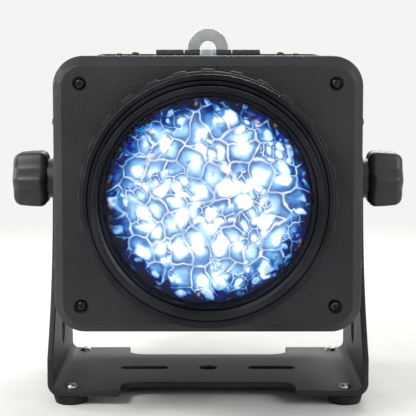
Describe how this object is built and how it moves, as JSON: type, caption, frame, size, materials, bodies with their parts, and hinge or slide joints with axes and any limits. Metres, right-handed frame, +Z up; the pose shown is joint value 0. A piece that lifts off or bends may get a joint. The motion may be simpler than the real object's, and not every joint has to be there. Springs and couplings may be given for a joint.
{
  "type": "water wave effect light",
  "caption": "Boxy black stage projector on a floor yoke, with a large lens, a focus ring and two turning rippled-glass wheels inside for moving water light.",
  "frame": {"origin": "centre of the bounding box's bottom, on the floor under the feet", "axes": "-Y is the lens end, +X is to the right seen from the front, +Z is up"},
  "size_m": [0.2758, 0.289, 0.2553],
  "materials": {
    "powder_coat": "fine black powder coat",
    "cast_paint": "satin black paint on die-cast metal",
    "yoke_paint": "textured black powder coat",
    "black_anodised": "matt black anodised",
    "mill_aluminium": "turned or folded, bare",
    "zinc_steel": "bright zinc plate",
    "black_plastic": "moulded, fine spark texture",
    "button_plastic": "moulded, satin",
    "acetal": "moulded, natural white",
    "soft_rubber": "matt black",
    "washer_fibre": "pressed fibre",
    "crown_glass": "polished and coated",
    "rippled_glass": "fire-polished ripples",
    "display_acrylic": "smoked, glossy",
    "circuit_board": "green solder mask"
  },
  "bodies": {
    "yoke": {"yoke_bracket": "yoke_paint", "foot_front_left": "soft_rubber", "foot_front_right": "soft_rubber", "foot_rear_left": "soft_rubber", "foot_rear_right": "soft_rubber", "friction_washer_left": "washer_fibre", "friction_washer_right": "washer_fibre"},
    "housing": {"chassis": "powder_coat", "top_cover": "powder_coat", "front_bezel": "cast_paint", "rear_bezel": "cast_paint", "lens_collar": "black_anodised", "ring_stop": "black_anodised", "safety_eye": "zinc_steel", "door_hinge_pin": "zinc_steel", "module_plate": "zinc_steel", "wheel_motor_rear": "zinc_steel", "wheel_motor_front": "zinc_steel", "bulkhead_plate": "zinc_steel", "condenser_holder": "black_anodised", "condenser_lens_front": "crown_glass", "condenser_lens_rear": "crown_glass", "led_board": "circuit_board", "heatsink": "black_anodised", "fan_frame": "black_plastic", "fan_guard": "zinc_steel", "rear_panel": "powder_coat", "display_window": "display_acrylic", "control_board": "circuit_board", "data_in_socket": "zinc_steel", "data_out_socket": "zinc_steel", "power_inlet": "black_plastic", "power_supply": "mill_aluminium", "driver_board": "circuit_board"},
    "lens": {"lens_tube": "black_anodised", "front_lens": "crown_glass", "rear_lens": "crown_glass", "lens_retainer": "black_anodised"},
    "focus_ring": {"focus_ring": "soft_rubber"},
    "wheel_rear": {"wheel_rim_rear": "acetal", "effect_glass_rear": "rippled_glass", "wheel_hub_rear": "mill_aluminium"},
    "wheel_front": {"wheel_rim_front": "acetal", "effect_glass_front": "rippled_glass", "wheel_hub_front": "mill_aluminium"},
    "pinion_rear": {"pinion_rear": "acetal"},
    "pinion_front": {"pinion_front": "acetal"},
    "fan_rotor": {"fan_rotor": "black_plastic"},
    "lock_knob_left": {"lock_knob_left": "black_plastic"},
    "lock_knob_right": {"lock_knob_right": "black_plastic"},
    "access_door": {"access_door": "powder_coat"},
    "door_latch": {"door_latch": "zinc_steel"},
    "menu_button_1": {"menu_button_1": "button_plastic"},
    "menu_button_2": {"menu_button_2": "button_plastic"},
    "menu_button_3": {"menu_button_3": "button_plastic"},
    "menu_button_4": {"menu_button_4": "button_plastic"},
    "power_rocker": {"power_rocker": "black_plastic"},
    "fuse_drawer": {"fuse_drawer": "black_plastic"},
    "data_out_latch": {"data_out_latch": "zinc_steel"}
  },
  "joints": [
    {"name": "head_tilt", "type": "hinge", "parent": "yoke", "child": "housing", "pos_m": [0, 0.0325, 0.14824], "axis": [1, 0, 0], "range_deg": [-110, 25]},
    {"name": "lock_left_turn", "type": "hinge", "parent": "housing", "child": "lock_knob_left", "pos_m": [-0.10861, 0.0325, 0.14824], "axis": [-1, 0, 0], "range_deg": [0, 270]},
    {"name": "lock_right_turn", "type": "hinge", "parent": "housing", "child": "lock_knob_right", "pos_m": [0.10861, 0.0325, 0.14824], "axis": [1, 0, 0], "range_deg": [0, 270]},
    {"name": "focus_ring_turn", "type": "hinge", "parent": "housing", "child": "focus_ring", "pos_m": [0, -0.128, 0.14824], "axis": [0, -1, 0], "range_deg": [0, 120]},
    {"name": "lens_slide", "type": "slide", "parent": "housing", "child": "lens", "axis": [0, -1, 0], "range_m": [0, 0.016]},
    {"name": "wheel_rear_spin", "type": "hinge", "parent": "housing", "child": "wheel_rear", "pos_m": [-0.0286, 0.0245, 0.14824], "axis": [0, 1, 0], "continuous": true},
    {"name": "wheel_front_spin", "type": "hinge", "parent": "housing", "child": "wheel_front", "pos_m": [0.0286, 0.0125, 0.14824], "axis": [0, 1, 0], "continuous": true},
    {"name": "pinion_rear_spin", "type": "hinge", "parent": "housing", "child": "pinion_rear", "pos_m": [-0.07191, 0.0245, 0.10493], "axis": [0, 1, 0], "continuous": true},
    {"name": "pinion_front_spin", "type": "hinge", "parent": "housing", "child": "pinion_front", "pos_m": [0.07191, 0.0125, 0.10493], "axis": [0, 1, 0], "continuous": true},
    {"name": "fan_spin", "type": "hinge", "parent": "housing", "child": "fan_rotor", "pos_m": [-0.03661, 0.1389, 0.16848], "axis": [0, 1, 0], "continuous": true},
    {"name": "access_door_hinge", "type": "hinge", "parent": "housing", "child": "access_door", "pos_m": [0, 0.0567, 0.23665], "axis": [-1, 0, 0], "range_deg": [0, 110]},
    {"name": "door_latch_turn", "type": "hinge", "parent": "access_door", "child": "door_latch", "pos_m": [0, -0.015, 0.23325], "axis": [0, 0, 1], "range_deg": [0, 90]},
    {"name": "menu_button_1_press", "type": "slide", "parent": "housing", "child": "menu_button_1", "axis": [0, -1, 0], "range_m": [0, 0.0008], "stiffness_N_per_m": 600, "springref_m": -0.0005},
    {"name": "menu_button_2_press", "type": "slide", "parent": "housing", "child": "menu_button_2", "axis": [0, -1, 0], "range_m": [0, 0.0008], "stiffness_N_per_m": 600, "springref_m": -0.0005},
    {"name": "menu_button_3_press", "type": "slide", "parent": "housing", "child": "menu_button_3", "axis": [0, -1, 0], "range_m": [0, 0.0008], "stiffness_N_per_m": 600, "springref_m": -0.0005},
    {"name": "menu_button_4_press", "type": "slide", "parent": "housing", "child": "menu_button_4", "axis": [0, -1, 0], "range_m": [0, 0.0008], "stiffness_N_per_m": 600, "springref_m": -0.0005},
    {"name": "power_rocker_tip", "type": "hinge", "parent": "housing", "child": "power_rocker", "pos_m": [0.05911, 0.1408, 0.10351], "axis": [-1, 0, 0], "range_deg": [0, 16]},
    {"name": "fuse_drawer_slide", "type": "slide", "parent": "housing", "child": "fuse_drawer", "axis": [0, 1, 0], "range_m": [0, 0.014]},
    {"name": "data_latch_press", "type": "slide", "parent": "housing", "child": "data_out_latch", "axis": [0, -1, 0], "range_m": [0, 0.001], "stiffness_N_per_m": 400, "springref_m": -0.0005}
  ],
  "couplings": [
    {"joint": "lens_slide", "follows": "focus_ring_turn", "m_per_rad": 0.007639},
    {"joint": "pinion_rear_spin", "follows": "wheel_rear_spin", "ratio": -5.125},
    {"joint": "pinion_front_spin", "follows": "wheel_front_spin", "ratio": -5.125}
  ]
}
